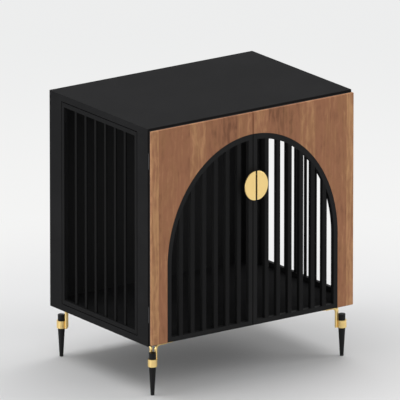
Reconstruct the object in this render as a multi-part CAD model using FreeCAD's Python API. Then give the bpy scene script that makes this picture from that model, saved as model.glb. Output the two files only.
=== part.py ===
import FreeCAD, Part
import math
import os

# Dog crate end table: a black cabinet with slatted sides and two arched, slatted doors, on four short legs.
#
# Millimetres, +Z up. The front faces -Y and the left side -X. The origin is on the floor, under the middle
# of the whole piece, doors and pulls included. What comes in a left and a right hand is made on the right,
# at +X, and mirrored.

Vector = FreeCAD.Vector

# Carcass
CARCASS_WIDTH = 600.0
CARCASS_DEPTH = 415.0
CARCASS_HEIGHT = 545.0
BOARD = 16.5             # thickness of the boards and posts
FRONT_POST_DEPTH = 43.5  # width of a front post, seen from the side
REAR_POST_DEPTH = 50.5
SCREW_INSET = 50.0       # end of a post or of the back panel to the next screw
EDGE_ROUND = 1.0         # rounded outer edges of the boards and posts
BACK_THICKNESS = 5.0
BACK_LAP = 8.0           # how far the back panel reaches over boards and posts
FIT = 0.3                # gap round a panel let into its opening

# Side grilles
GRILLE_BAR = 9.3         # face width of the upright bars of the grille frame
GRILLE_RAIL = 10.8       # and of its level bars
GROOVE_WIDTH = 2.0       # shadow groove round the face of the grille frame
GROOVE_DEPTH = 4.0
GRILLE_DEPTH = 10.0
SIDE_SLATS = 6
SIDE_END_GAP = 41.4      # grille frame to the first slat
SIDE_SLAT_WIDTH = 8.5
SIDE_SLAT_THICKNESS = 4.0
SIDE_SLAT_RECESS = 3.0   # from the outer face of the side

# Doors
SIDE_REVEAL = 2.5        # carcass left showing beside a door
TOP_REVEAL = 5.35        # above the doors
FOOT_REVEAL = 5.35       # below the doors
SEAM = 2.0               # gap between the two doors
DOOR_GAP = 1.0           # gap between the doors and the carcass
BACKING_THICKNESS = 3.0
FACING_THICKNESS = 9.0
SIDE_STRIP = 46.5        # facing beside the arch
CROWN_STRIP = 54.1       # facing above the arch
SPRING_HEIGHT = 188.2    # where the arch starts to curve, above the foot of the door
BAND_JAMB = 11.4         # width of the arched band at its foot
BAND_CROWN = 14.0        # and at its top
STILE_WIDTH = 11.5
RAIL_HEIGHT = 11.5
DOOR_SLATS = 6
DOOR_SLAT_WIDTH = 11.2
DOOR_SLAT_THICKNESS = 11.0
SLAT_ROUND = 0.6
FACING_ROUND = 0.6

# Half-moon pulls
PULL_SLOT = 4.7          # gap between the two halves
PULL_REACH = 31.6        # straight edge to the outermost point
PULL_RISE = 36.4         # half the height
PULL_THICKNESS = 3.0
PULL_ROUND = 0.8
PULL_STANDOFF = 12.0     # finger room behind the plate
PULL_DROP = 179.7        # head of the door to the centre of the pull
STUD_RADIUS = 4.0        # the two studs that carry a pull
STUD_SPACING = 40.0

# Hinges
HINGE_HEIGHT = 40.0
HINGE_INSET = 55.0       # end of the door to the near end of the hinge
LEAF_WIDTH = 14.0
LEAF_THICKNESS = 0.9
LEAF_NECK = 2.3          # hinge axis to the solid part of a leaf
PIN_RADIUS = 0.95
PIN_PLAY = 0.05
KNUCKLES = 5
KNUCKLE_GAP = 0.2        # between two knuckles
KNUCKLE_CLEARANCE = 0.1  # knuckles to the facing and to the carcass
LEAF_SCREW_SPACING = 24.0
LEAF_SCREW_INSET = 8.4   # from the hinge axis

# Magnetic catch
CATCH_WIDTH = 60.0
CATCH_DEPTH = 12.0
CATCH_HEIGHT = 14.0
CATCH_SETBACK = 0.5      # behind the front of the carcass
CATCH_SCREW_SPACING = 50.0
MAGNET_WIDTH = 14.0
MAGNET_HEIGHT = 8.0
MAGNET_DEPTH = 4.0
MAGNET_CENTRE = 12.0     # from the seam
STRIKE_WIDTH = 18.0
STRIKE_HEIGHT = 12.0
STRIKE_THICKNESS = 1.2

# Legs and their brackets
LEG_HEIGHT = 127.0       # floor to the underside of the carcass
LEG_INSET_SIDE = 20.0
LEG_INSET_FRONT = 9.1
LEG_INSET_BACK = 19.1
LEG_TOP_GAP = 20.3       # open gap between the carcass and the top of the leg
LEG_RADIUS = 8.7
LEG_TIP_RADIUS = 4.75
LEG_ROUND = 0.8
COLLAR_DROP = 35.6       # carcass to the top of the collar
COLLAR_HEIGHT = 18.6
COLLAR_WALL = 2.8
COLLAR_FIT = 0.05
GLIDE_HEIGHT = 4.0
GLIDE_ROUND = 1.5
GLIDE_PIN_RADIUS = 2.0
GLIDE_PIN_LENGTH = 8.0
BAR_RADIUS = 3.5         # the two bent bars of a bracket
BAR_BEND = 12.0
BAR_REACH = 44.0         # leg axis to the end of a bar
BAR_ANGLE = 20.0         # place of a bar on the collar, turned inwards from its own direction
BAR_WELD = 0.8           # how deep a bar sits in the collar
PAD_LENGTH = 20.0
PAD_WIDTH = 14.0
PAD_THICKNESS = 3.0
PAD_LAP = 6.0            # how far a pad covers the end of its bar

# Fittings that hold the carcass together
DOWEL_RADIUS = 4.0
DOWEL_LENGTH = 30.0
CAM_RADIUS = 7.5
CAM_DEPTH = 12.5
CAM_DISTANCE = 24.0      # joint to the centre of a cam
CAM_SLOT_LENGTH = 9.0
CAM_SLOT_WIDTH = 1.6
CAM_SLOT_DEPTH = 1.5
CAM_BOLT_RADIUS = 3.0
CAM_BOLT_GRIP = 11.0     # depth of a cam bolt in its board
CAM_BOLT_ENTRY = 5.0     # how far a cam bolt reaches into its cam
FITTING_SPACING = 24.0   # dowel to cam bolt
HOLE_FIT = 0.05          # play of a fitting in its hole

# Screws: shank radius, length under the head, head radius, head height
FRAME_LEAF_SCREW = (1.5, 12.0, 2.9, LEAF_THICKNESS)
DOOR_LEAF_SCREW = (1.5, FACING_THICKNESS - 1.0, 2.9, LEAF_THICKNESS)
BACK_SCREW = (1.5, BACK_THICKNESS + 9.0, 2.9, 1.6)
PAD_SCREW = (2.0, PAD_THICKNESS + 12.0, 4.0, 2.4)
PULL_SCREW = (2.0, BACKING_THICKNESS + FACING_THICKNESS + 6.0, 3.75, 2.4)
CATCH_SCREW = (1.5, CATCH_HEIGHT + 10.0, 2.8, 2.0)
GRILLE_SCREW = (1.5, GRILLE_BAR + GROOVE_WIDTH + 12.7, 2.8, 1.5)

PAST = 1.0               # how far a cutting shape runs past the face it cuts

# Places worked out from the sizes above
half_width = CARCASS_WIDTH / 2
door_thickness = BACKING_THICKNESS + FACING_THICKNESS
total_depth = CARCASS_DEPTH + DOOR_GAP + door_thickness + PULL_STANDOFF + PULL_THICKNESS
back = total_depth / 2
front = back - CARCASS_DEPTH
underside = LEG_HEIGHT
inner_floor = underside + BOARD
top = underside + CARCASS_HEIGHT
inner_top = top - BOARD
side_inner = half_width - BOARD
middle = (front + back) / 2

door_back = front - DOOR_GAP
facing_back = door_back - BACKING_THICKNESS
door_front = door_back - door_thickness
door_foot = underside + FOOT_REVEAL
door_head = top - TOP_REVEAL
door_outer = half_width - SIDE_REVEAL
door_inner = SEAM / 2

arch_half_width = door_outer - SIDE_STRIP
spring = door_foot + SPRING_HEIGHT
arch_rise = door_head - CROWN_STRIP - spring
lined_half_width = arch_half_width - BAND_JAMB
lined_rise = arch_rise - BAND_CROWN

hinge_y = front - (DOOR_GAP + BACKING_THICKNESS) / 2
knuckle_radius = (DOOR_GAP + BACKING_THICKNESS) / 2 - KNUCKLE_CLEARANCE
hinge_feet = (door_foot + HINGE_INSET, door_head - HINGE_INSET - HINGE_HEIGHT)

pull_centre_z = door_head - PULL_DROP

leg_x = half_width - LEG_INSET_SIDE
leg_ys = {"front": front + LEG_INSET_FRONT, "rear": back - LEG_INSET_BACK}
collar_radius = LEG_RADIUS + COLLAR_WALL
collar_head = underside - COLLAR_DROP
collar_foot = collar_head - COLLAR_HEIGHT

OUT = "parts"
os.makedirs(OUT, exist_ok=True)


def block(x0, x1, y0, y1, z0, z1):
    """Upright block between two values along each axis."""
    return Part.makeBox(x1 - x0, y1 - y0, z1 - z0, Vector(x0, y0, z0))


def rod(radius, start, end):
    """Round rod from one point to another."""
    along = end - start
    return Part.makeCylinder(radius, along.Length, start, along)


def tapered(radius_start, radius_end, start, end):
    """Cone between two points."""
    along = end - start
    return Part.makeCone(radius_start, radius_end, along.Length, start, along)


def oval_plate(centre, half_span, half_height, thickness):
    """Upright elliptical plate that faces the front, its front face on centre."""
    crown = centre + Vector(0, 0, half_height)
    flank = centre + Vector(half_span, 0, 0)
    far, near = (crown, flank) if half_height >= half_span else (flank, crown)
    outline = Part.Wire(Part.Ellipse(far, near, centre).toShape())
    return Part.Face(outline).extrude(Vector(0, thickness, 0))


def rounded(solid, radius, chosen):
    """The solid with the edges that chosen(edge) picks rounded off."""
    return solid.makeFillet(radius, [edge for edge in solid.Edges if chosen(edge)])


def is_upright(edge):
    """True for a straight edge that runs along Z."""
    start, end = edge.Vertexes[0].Point, edge.Vertexes[-1].Point
    return math.hypot(end.x - start.x, end.y - start.y) < 0.001 and abs(end.z - start.z) > 0.001


def lies_at(edge, axis, value):
    """True when the whole edge lies at one value along the axis x, y or z."""
    box = edge.BoundBox
    low = getattr(box, axis.upper() + "Min")
    high = getattr(box, axis.upper() + "Max")
    return abs(low - value) < 0.01 and abs(high - value) < 0.01


def mirrored(solid):
    """The left hand of a piece made for the right."""
    return solid.mirror(Vector(0, 0, 0), Vector(1, 0, 0))


def both_hands(solids):
    """The pieces and their mirror images."""
    return solids + [mirrored(solid) for solid in solids]


def one_solid(shape):
    """The only solid of a cut or joined shape."""
    if len(shape.Solids) != 1:
        raise ValueError("expected one solid, found %d" % len(shape.Solids))
    return shape.Solids[0]


def save(name, solids):
    """Writes one piece, or one group of like pieces, to its own file."""
    shape = solids[0] if len(solids) == 1 else Part.makeCompound(solids)
    shape.exportStep("%s/%s.step" % (OUT, name))


def save_hands(name, solids):
    """Writes a right-hand piece and its left-hand mirror image."""
    save("right_" + name, solids)
    save("left_" + name, [mirrored(solid) for solid in solids])


def screw(kind, seat, direction, countersunk=False):
    """Screw whose head bears on seat and whose shank runs in direction."""
    shank_radius, length, head_radius, head_height = kind
    direction = Vector(direction).normalize()
    if countersunk:
        head = tapered(head_radius, shank_radius, seat, seat + direction * head_height)
        shank = rod(shank_radius, seat + direction * head_height, seat + direction * length)
    else:
        head = rod(head_radius, seat - direction * head_height, seat)
        shank = rod(shank_radius, seat, seat + direction * length)
    return one_solid(head.fuse(shank))


def screw_hole(kind, seat, direction, countersunk=False):
    """The room that such a screw needs from its seat on."""
    shank_radius, length, head_radius, head_height = kind
    direction = Vector(direction).normalize()
    hole = rod(shank_radius + HOLE_FIT, seat - direction * PAST, seat + direction * (length + HOLE_FIT))
    if countersunk:
        mouth = tapered(head_radius + HOLE_FIT, shank_radius + HOLE_FIT, seat,
                        seat + direction * head_height)
        hole = hole.fuse(mouth)
    return hole


# Joinery of the carcass. A post stands between the boards. At each end a dowel and a cam bolt cross the
# joint.

def joint_ends():
    """(height of the joint, way from the joint into the post) at the foot and the head of a post."""
    return ((inner_floor, 1), (inner_top, -1))


def post_span(row):
    """Front and rear limit of a post of the front or the rear row."""
    if row == "front":
        return front, front + FRONT_POST_DEPTH
    return back - REAR_POST_DEPTH, back


def post_fittings(row):
    """Dowels, cam bolts and cams of one right-hand post."""
    x = half_width - BOARD / 2
    y_mid = sum(post_span(row)) / 2
    towards_middle = 1 if row == "front" else -1
    dowel_y = y_mid - towards_middle * FITTING_SPACING / 2
    bolt_y = y_mid + towards_middle * FITTING_SPACING / 2
    dowels, bolts, cams = [], [], []
    for height, way in joint_ends():
        up = Vector(0, 0, way)
        joint = Vector(x, dowel_y, height)
        dowels.append(rod(DOWEL_RADIUS, joint - up * (DOWEL_LENGTH / 2), joint + up * (DOWEL_LENGTH / 2)))
        joint = Vector(x, bolt_y, height)
        bolt_end = CAM_DISTANCE - CAM_RADIUS + CAM_BOLT_ENTRY
        bolts.append(rod(CAM_BOLT_RADIUS, joint - up * CAM_BOLT_GRIP, joint + up * bolt_end))
        centre = Vector(side_inner, bolt_y, height) + up * CAM_DISTANCE
        cam = rod(CAM_RADIUS, centre, centre + Vector(CAM_DEPTH, 0, 0))
        bolt_room = rod(CAM_BOLT_RADIUS + HOLE_FIT, joint, joint + up * (bolt_end + HOLE_FIT))
        slot = block(side_inner - PAST, side_inner + CAM_SLOT_DEPTH,
                     bolt_y - CAM_SLOT_LENGTH / 2, bolt_y + CAM_SLOT_LENGTH / 2,
                     centre.z - CAM_SLOT_WIDTH / 2, centre.z + CAM_SLOT_WIDTH / 2)
        cams.append(one_solid(cam.cut(bolt_room).cut(slot)))
    return dowels, bolts, cams


def fitting_holes(row):
    """The holes that the fittings of one right-hand post need in the post and in the boards."""
    x = half_width - BOARD / 2
    dowels, bolts, cams = post_fittings(row)
    holes = []
    upright = [(dowel, DOWEL_RADIUS) for dowel in dowels] + [(bolt, CAM_BOLT_RADIUS) for bolt in bolts]
    for solid, radius in upright:
        box = solid.BoundBox
        y = (box.YMin + box.YMax) / 2
        foot, head = Vector(x, y, box.ZMin - HOLE_FIT), Vector(x, y, box.ZMax + HOLE_FIT)
        holes.append(rod(radius + HOLE_FIT, foot, head))
    for cam in cams:
        box = cam.BoundBox
        mouth = Vector(side_inner - PAST, (box.YMin + box.YMax) / 2, (box.ZMin + box.ZMax) / 2)
        holes.append(rod(CAM_RADIUS + HOLE_FIT, mouth, mouth + Vector(PAST + CAM_DEPTH + HOLE_FIT, 0, 0)))
    return holes


# Back panel, let into a rebate all round and screwed to the posts and boards.

def back_panel_outline(clearance):
    """Half width, foot and head of the back panel, smaller by the clearance all round."""
    return (side_inner + BACK_LAP - clearance, inner_floor - BACK_LAP + clearance,
            inner_top + BACK_LAP - clearance)


def back_rebate():
    """The room cut out of boards and posts for the back panel."""
    reach, foot, head = back_panel_outline(0)
    return block(-reach, reach, back - BACK_THICKNESS, back + PAST, foot, head)


def back_screw_seats():
    """Screw places near the edge of the back panel."""
    reach, foot, head = back_panel_outline(BACK_LAP / 2)
    mid = (foot + head) / 2
    upright = [(side * reach, z) for side in (-1, 1) for z in (foot + SCREW_INSET, mid, head - SCREW_INSET)]
    level = [(side * reach / 2, z) for side in (-1, 1) for z in (foot, head)]
    return [Vector(x, back, z) for x, z in upright + level]


def back_panel():
    """Thin black panel with countersunk holes."""
    reach, foot, head = back_panel_outline(FIT)
    panel = block(-reach, reach, back - BACK_THICKNESS, back, foot, head)
    for seat in back_screw_seats():
        panel = panel.cut(screw_hole(BACK_SCREW, seat, Vector(0, -1, 0), True))
    return one_solid(panel)


# Screw places that the boards and posts share with the pieces screwed to them.

def leaf_screw_seats():
    """Screw places of the right-hand hinge leaves, at the height of the leaf's middle."""
    x = door_outer - LEAF_SCREW_INSET
    return [Vector(x, front - LEAF_THICKNESS, foot + HINGE_HEIGHT / 2 + side * LEAF_SCREW_SPACING / 2)
            for foot in hinge_feet for side in (-1, 1)]


def catch_screw_seats():
    """Screw places under the body of the magnetic catch."""
    y = front + CATCH_SETBACK + CATCH_DEPTH / 2
    return [Vector(side * CATCH_SCREW_SPACING / 2, y, inner_top - CATCH_HEIGHT) for side in (-1, 1)]


def bar_start(row, along_x):
    """Foot of a bent bar of a right-hand bracket, on the collar, and the level direction of its arm."""
    inwards = 1 if row == "front" else -1
    distance = collar_radius + BAR_RADIUS - BAR_WELD
    main = distance * math.cos(math.radians(BAR_ANGLE))
    aside = distance * math.sin(math.radians(BAR_ANGLE))
    if along_x:
        return Vector(leg_x - main, leg_ys[row] + inwards * aside, collar_foot), Vector(-1, 0, 0)
    return Vector(leg_x - aside, leg_ys[row] + inwards * main, collar_foot), Vector(0, inwards, 0)


def pad_centre(row, along_x):
    """Middle of the face of a bracket's pad that lies against the carcass."""
    start, way = bar_start(row, along_x)
    axis = Vector(leg_x, leg_ys[row], 0)
    reach = (start - axis).dot(way)
    centre = start + way * (BAR_REACH - reach - PAD_LAP + PAD_LENGTH / 2)
    return Vector(centre.x, centre.y, underside)


def pad_screw_seats(row):
    """Screw places under the pads of one right-hand bracket, past the ends of the bars."""
    seats = []
    for along_x in (True, False):
        way = bar_start(row, along_x)[1]
        seats.append(pad_centre(row, along_x) + way * (PAD_LAP / 2) - Vector(0, 0, PAD_THICKNESS))
    return seats


def grille_screw_seats():
    """Screw places in the upright bars of the right-hand grille, with the way into the post."""
    x = half_width - (GROOVE_DEPTH + GRILLE_DEPTH) / 2
    heights = (inner_floor + SCREW_INSET, inner_top - SCREW_INSET)
    near, far = grille_opening()[:2]
    return ([(Vector(x, near, z), Vector(0, -1, 0)) for z in heights]
            + [(Vector(x, far, z), Vector(0, 1, 0)) for z in heights])


# Boards and posts, black lacquered, with slightly rounded outer edges.

def board(z0, z1, outer_face):
    """Top or bottom board before it is drilled."""
    slab = block(-half_width, half_width, front, back, z0, z1)
    return rounded(slab, EDGE_ROUND, lambda edge: is_upright(edge) or lies_at(edge, "z", outer_face))


def drilled_board(z0, z1, outer_face):
    """Board with its rebate for the back panel and the holes for its fittings."""
    slab = board(z0, z1, outer_face).cut(back_rebate())
    for row in ("front", "rear"):
        slab = slab.cut(both_hands(fitting_holes(row)))
    for seat in back_screw_seats():
        slab = slab.cut(screw_hole(BACK_SCREW, seat, Vector(0, -1, 0)))
    return slab


def top_board():
    """Table top, with the screw holes of the magnetic catch in its underside."""
    slab = drilled_board(inner_top, top, top)
    for seat in catch_screw_seats():
        slab = slab.cut(screw_hole(CATCH_SCREW, seat, Vector(0, 0, 1)))
    return one_solid(slab)


def bottom_board():
    """Floor of the crate, with the screw holes of the leg brackets in its underside."""
    slab = drilled_board(underside, inner_floor, underside)
    for row in ("front", "rear"):
        for seat in pad_screw_seats(row):
            hole = screw_hole(PAD_SCREW, seat, Vector(0, 0, 1))
            slab = slab.cut(both_hands([hole]))
    return one_solid(slab)


def post(row):
    """Right-hand corner post of the front or the rear row."""
    y0, y1 = post_span(row)
    corner_y = y0 if row == "front" else y1
    solid = block(side_inner, half_width, y0, y1, inner_floor, inner_top)
    solid = rounded(solid, EDGE_ROUND, lambda edge: is_upright(edge) and lies_at(edge, "x", half_width)
                    and lies_at(edge, "y", corner_y))
    solid = solid.cut(fitting_holes(row)).cut(back_rebate())
    for seat in back_screw_seats():
        solid = solid.cut(screw_hole(BACK_SCREW, seat, Vector(0, -1, 0)))
    for seat in leaf_screw_seats():
        solid = solid.cut(screw_hole(FRAME_LEAF_SCREW, seat, Vector(0, 1, 0)))
    for seat, way in grille_screw_seats():
        solid = solid.cut(screw_hole(GRILLE_SCREW, seat, way))
    return one_solid(solid)


# Side grilles: a black metal frame let in between posts and boards, its face rebated all round for a shadow
# groove, and flat upright slats welded in.

def grille_opening():
    """Front and rear limit, foot and head of the opening inside the grille frame."""
    bar = GROOVE_WIDTH + GRILLE_BAR
    rail = GROOVE_WIDTH + GRILLE_RAIL
    return (front + FRONT_POST_DEPTH + bar, back - REAR_POST_DEPTH - bar,
            inner_floor + rail, inner_top - rail)


def grille_frame():
    """Right-hand grille frame."""
    near, far, low, high = grille_opening()
    face = block(half_width - GRILLE_DEPTH, half_width, near - GRILLE_BAR, far + GRILLE_BAR,
                 low - GRILLE_RAIL, high + GRILLE_RAIL)
    body = block(half_width - GRILLE_DEPTH, half_width - GROOVE_DEPTH, front + FRONT_POST_DEPTH + FIT,
                 back - REAR_POST_DEPTH - FIT, inner_floor + FIT, inner_top - FIT)
    opening = block(half_width - GRILLE_DEPTH - PAST, half_width + PAST, near, far, low, high)
    frame = body.fuse(face).removeSplitter().cut(opening)
    for seat, way in grille_screw_seats():
        frame = frame.cut(screw_hole(GRILLE_SCREW, seat, way))
    return one_solid(frame)


def side_slats():
    """The upright slats of the right-hand grille, evenly spaced, with a wider gap at each end."""
    outer = half_width - SIDE_SLAT_RECESS
    near, far, low, high = grille_opening()
    first = near + SIDE_END_GAP
    pitch = (far - SIDE_END_GAP - SIDE_SLAT_WIDTH - first) / (SIDE_SLATS - 1)
    slats = []
    for number in range(SIDE_SLATS):
        y = first + number * pitch
        slats.append(block(outer - SIDE_SLAT_THICKNESS, outer, y, y + SIDE_SLAT_WIDTH, low, high))
    return slats


# Doors. Each right-hand piece below lies between the seam and the outer edge of the door.

def arch_prism(half_span, rise, y0, y1):
    """Solid under an arch: straight jambs up to the spring line, then half an ellipse over the full span."""
    oval = oval_plate(Vector(0, y0, spring), half_span, rise, y1 - y0)
    upper = block(-half_span - PAST, half_span + PAST, y0, y1, spring, spring + rise + PAST)
    jambs = block(-half_span, half_span, y0, y1, door_foot - PAST, spring)
    return oval.common(upper).fuse(jambs).removeSplitter()


def door_slab(y0, y1):
    """Plain right-hand door blank between two depths."""
    return block(door_inner, door_outer, y0, y1, door_foot, door_head)


def door_leaf_screw_seats():
    """Screw places of the hinge leaves on the back of the facing."""
    return [Vector(seat.x, facing_back + LEAF_THICKNESS, seat.z) for seat in leaf_screw_seats()]


def facing():
    """Walnut-faced panel with its half of the arch cut out, its front edges eased and its hinge holes."""
    arch = arch_prism(arch_half_width, arch_rise, door_front - PAST, facing_back + PAST)
    solid = one_solid(door_slab(door_front, facing_back).cut(arch))
    solid = rounded(solid, FACING_ROUND, lambda edge: lies_at(edge, "y", door_front))
    for seat in door_leaf_screw_seats():
        solid = solid.cut(screw_hole(DOOR_LEAF_SCREW, seat, Vector(0, -1, 0)))
    return one_solid(solid)


def hinge_notch(foot):
    """The room in the backing for one hinge, knuckles and door leaf."""
    return block(door_outer - LEAF_WIDTH - FIT, door_outer + PAST, facing_back - PAST, door_back + PAST,
                 foot - FIT, foot + HINGE_HEIGHT + FIT)


def backing():
    """Black frame behind the facing, notched for the hinges."""
    arch = arch_prism(arch_half_width, arch_rise, facing_back - PAST, door_back + PAST)
    solid = door_slab(facing_back, door_back).cut(arch)
    for foot in hinge_feet:
        solid = solid.cut(hinge_notch(foot))
    return one_solid(solid)


def inside_band():
    """The room inside the arched band."""
    return arch_prism(lined_half_width, lined_rise, door_front - PAST, door_back + PAST)


def arch_band():
    """Black band that lines the arch, as deep as the door."""
    outer = arch_prism(arch_half_width, arch_rise, door_front, door_back)
    return one_solid(outer.cut(inside_band()).common(door_slab(door_front, door_back)))


def stud_centres():
    """Where the studs of the right-hand pull meet the front of its stile."""
    x = door_inner + STILE_WIDTH / 2
    return [Vector(x, door_front, pull_centre_z + side * STUD_SPACING / 2) for side in (-1, 1)]


def pull_screw_seats():
    """Where the heads of the pull's screws bear on the back of the stile."""
    return [Vector(centre.x, door_back, centre.z) for centre in stud_centres()]


def centre_stile():
    """Upright at the seam, drilled for the pull."""
    solid = block(door_inner, door_inner + STILE_WIDTH, door_front, door_back, door_foot, door_head)
    solid = rounded(solid, SLAT_ROUND, lambda edge: is_upright(edge) and lies_at(edge, "y", door_front))
    for seat in pull_screw_seats():
        solid = solid.cut(screw_hole(PULL_SCREW, seat, Vector(0, -1, 0)))
    return one_solid(solid.common(inside_band()))


def bottom_rail():
    """Level bar at the foot of the door, from the stile to the band."""
    return block(door_inner + STILE_WIDTH, lined_half_width, door_front, door_back,
                 door_foot, door_foot + RAIL_HEIGHT)


def door_slats():
    """Upright slats, evenly spaced from the stile to the band, flush with the front and cut to the arch."""
    start = door_inner + STILE_WIDTH
    gap = (lined_half_width - start - DOOR_SLATS * DOOR_SLAT_WIDTH) / (DOOR_SLATS + 1)
    slats = []
    for number in range(DOOR_SLATS):
        x = start + gap + number * (DOOR_SLAT_WIDTH + gap)
        slat = block(x, x + DOOR_SLAT_WIDTH, door_front, door_front + DOOR_SLAT_THICKNESS,
                     door_foot + RAIL_HEIGHT, door_head)
        slats.append(one_solid(rounded(slat, SLAT_ROUND, is_upright).common(inside_band())))
    return slats


def pull():
    """Half-moon plate on two studs."""
    x = PULL_SLOT / 2
    back_face = door_front - PULL_STANDOFF
    front_face = back_face - PULL_THICKNESS
    oval = oval_plate(Vector(x, front_face, pull_centre_z), PULL_REACH, PULL_RISE, PULL_THICKNESS)
    outer_half = block(x, x + PULL_REACH + PAST, front_face, back_face,
                       pull_centre_z - PULL_RISE - PAST, pull_centre_z + PULL_RISE + PAST)
    plate = one_solid(oval.common(outer_half))
    plate = rounded(plate, PULL_ROUND, lambda edge: lies_at(edge, "y", front_face))
    for centre in stud_centres():
        plate = plate.fuse(rod(STUD_RADIUS, centre, centre - Vector(0, PULL_STANDOFF, 0)))
    for seat in pull_screw_seats():
        plate = plate.cut(screw_hole(PULL_SCREW, seat, Vector(0, -1, 0)))
    return one_solid(plate)


# Hinges. The knuckles stand at the outer edge of the door, in the depth of its backing.

def knuckle_spans(foot, first):
    """Foot and head of every second knuckle, starting with the first or the second."""
    pitch = HINGE_HEIGHT / KNUCKLES
    return [(foot + number * pitch + KNUCKLE_GAP / 2, foot + (number + 1) * pitch - KNUCKLE_GAP / 2)
            for number in range(first, KNUCKLES, 2)]


def hinge_leaf(foot, y0, y1, first):
    """Leaf between two depths, with its knuckles rolled round the pin."""
    leaf = block(door_outer - LEAF_WIDTH, door_outer - LEAF_NECK, y0, y1, foot, foot + HINGE_HEIGHT)
    for low, high in knuckle_spans(foot, first):
        leaf = leaf.fuse(block(door_outer - LEAF_NECK, door_outer, y0, y1, low, high))
        knuckle = rod(knuckle_radius, Vector(door_outer, hinge_y, low), Vector(door_outer, hinge_y, high))
        leaf = leaf.fuse(knuckle)
    bore = rod(PIN_RADIUS + PIN_PLAY, Vector(door_outer, hinge_y, foot - PAST),
               Vector(door_outer, hinge_y, foot + HINGE_HEIGHT + PAST))
    return leaf.cut(bore)


def frame_leaves():
    """The two right-hand leaves screwed to the front post."""
    leaves = []
    for foot in hinge_feet:
        leaf = hinge_leaf(foot, front - LEAF_THICKNESS, front, 0)
        for seat in leaf_screw_seats():
            leaf = leaf.cut(screw_hole(FRAME_LEAF_SCREW, seat, Vector(0, 1, 0), True))
        leaves.append(one_solid(leaf))
    return leaves


def door_leaves():
    """The two right-hand leaves on the back of the facing."""
    leaves = []
    for foot in hinge_feet:
        leaf = hinge_leaf(foot, facing_back, facing_back + LEAF_THICKNESS, 1)
        for seat in door_leaf_screw_seats():
            leaf = leaf.cut(screw_hole(DOOR_LEAF_SCREW, seat, Vector(0, -1, 0), True))
        leaves.append(one_solid(leaf))
    return leaves


def hinge_pins():
    """The right-hand hinge pins."""
    feet = [Vector(door_outer, hinge_y, foot) for foot in hinge_feet]
    return [rod(PIN_RADIUS, foot, foot + Vector(0, 0, HINGE_HEIGHT)) for foot in feet]


# Magnetic catch under the table top, one magnet for each door.

def magnet():
    """Right-hand magnet, its face flush with the front of the catch."""
    y = front + CATCH_SETBACK
    z = inner_top - CATCH_HEIGHT / 2
    return block(MAGNET_CENTRE - MAGNET_WIDTH / 2, MAGNET_CENTRE + MAGNET_WIDTH / 2, y, y + MAGNET_DEPTH,
                 z - MAGNET_HEIGHT / 2, z + MAGNET_HEIGHT / 2)


def catch_body():
    """Plastic block with a pocket for each magnet."""
    y = front + CATCH_SETBACK
    body = block(-CATCH_WIDTH / 2, CATCH_WIDTH / 2, y, y + CATCH_DEPTH, inner_top - CATCH_HEIGHT, inner_top)
    body = body.cut(both_hands([magnet()]))
    for seat in catch_screw_seats():
        body = body.cut(screw_hole(CATCH_SCREW, seat, Vector(0, 0, 1)))
    return one_solid(body)


def strike_plate():
    """Steel plate on the back of the right-hand door, facing its magnet."""
    z = inner_top - CATCH_HEIGHT / 2
    return block(MAGNET_CENTRE - STRIKE_WIDTH / 2, MAGNET_CENTRE + STRIKE_WIDTH / 2,
                 door_back, door_back + STRIKE_THICKNESS, z - STRIKE_HEIGHT / 2, z + STRIKE_HEIGHT / 2)


# Legs. A brass collar round the leg is carried by two bent bars, whose pads are screwed to the carcass.

def turned(axis_x, axis_y, outline):
    """Solid of revolution about an upright axis, from (radius, height) points."""
    points = [Vector(axis_x + radius, axis_y, height) for radius, height in outline]
    face = Part.Face(Part.makePolygon(points + [points[0]]))
    return face.revolve(Vector(axis_x, axis_y, 0), Vector(0, 0, 1), 360)


def leg(row):
    """Right-hand black leg: straight through the collar, then tapered to the foot."""
    y = leg_ys[row]
    head = underside - LEG_TOP_GAP
    solid = turned(leg_x, y, [(0, GLIDE_HEIGHT), (LEG_TIP_RADIUS, GLIDE_HEIGHT), (LEG_RADIUS, collar_foot),
                              (LEG_RADIUS, head), (0, head)])
    solid = rounded(solid, LEG_ROUND, lambda edge: lies_at(edge, "z", head))
    hole = rod(GLIDE_PIN_RADIUS + HOLE_FIT, Vector(leg_x, y, GLIDE_HEIGHT - PAST),
               Vector(leg_x, y, GLIDE_HEIGHT + GLIDE_PIN_LENGTH + HOLE_FIT))
    return one_solid(solid.cut(hole))


def glide(row):
    """Plastic foot with a pin pressed up into the leg."""
    y = leg_ys[row]
    disc = rod(LEG_TIP_RADIUS, Vector(leg_x, y, 0), Vector(leg_x, y, GLIDE_HEIGHT))
    disc = rounded(disc, GLIDE_ROUND, lambda edge: lies_at(edge, "z", 0))
    pin_head = Vector(leg_x, y, GLIDE_HEIGHT + GLIDE_PIN_LENGTH)
    pin = rod(GLIDE_PIN_RADIUS, Vector(leg_x, y, GLIDE_HEIGHT), pin_head)
    return one_solid(disc.fuse(pin))


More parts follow.
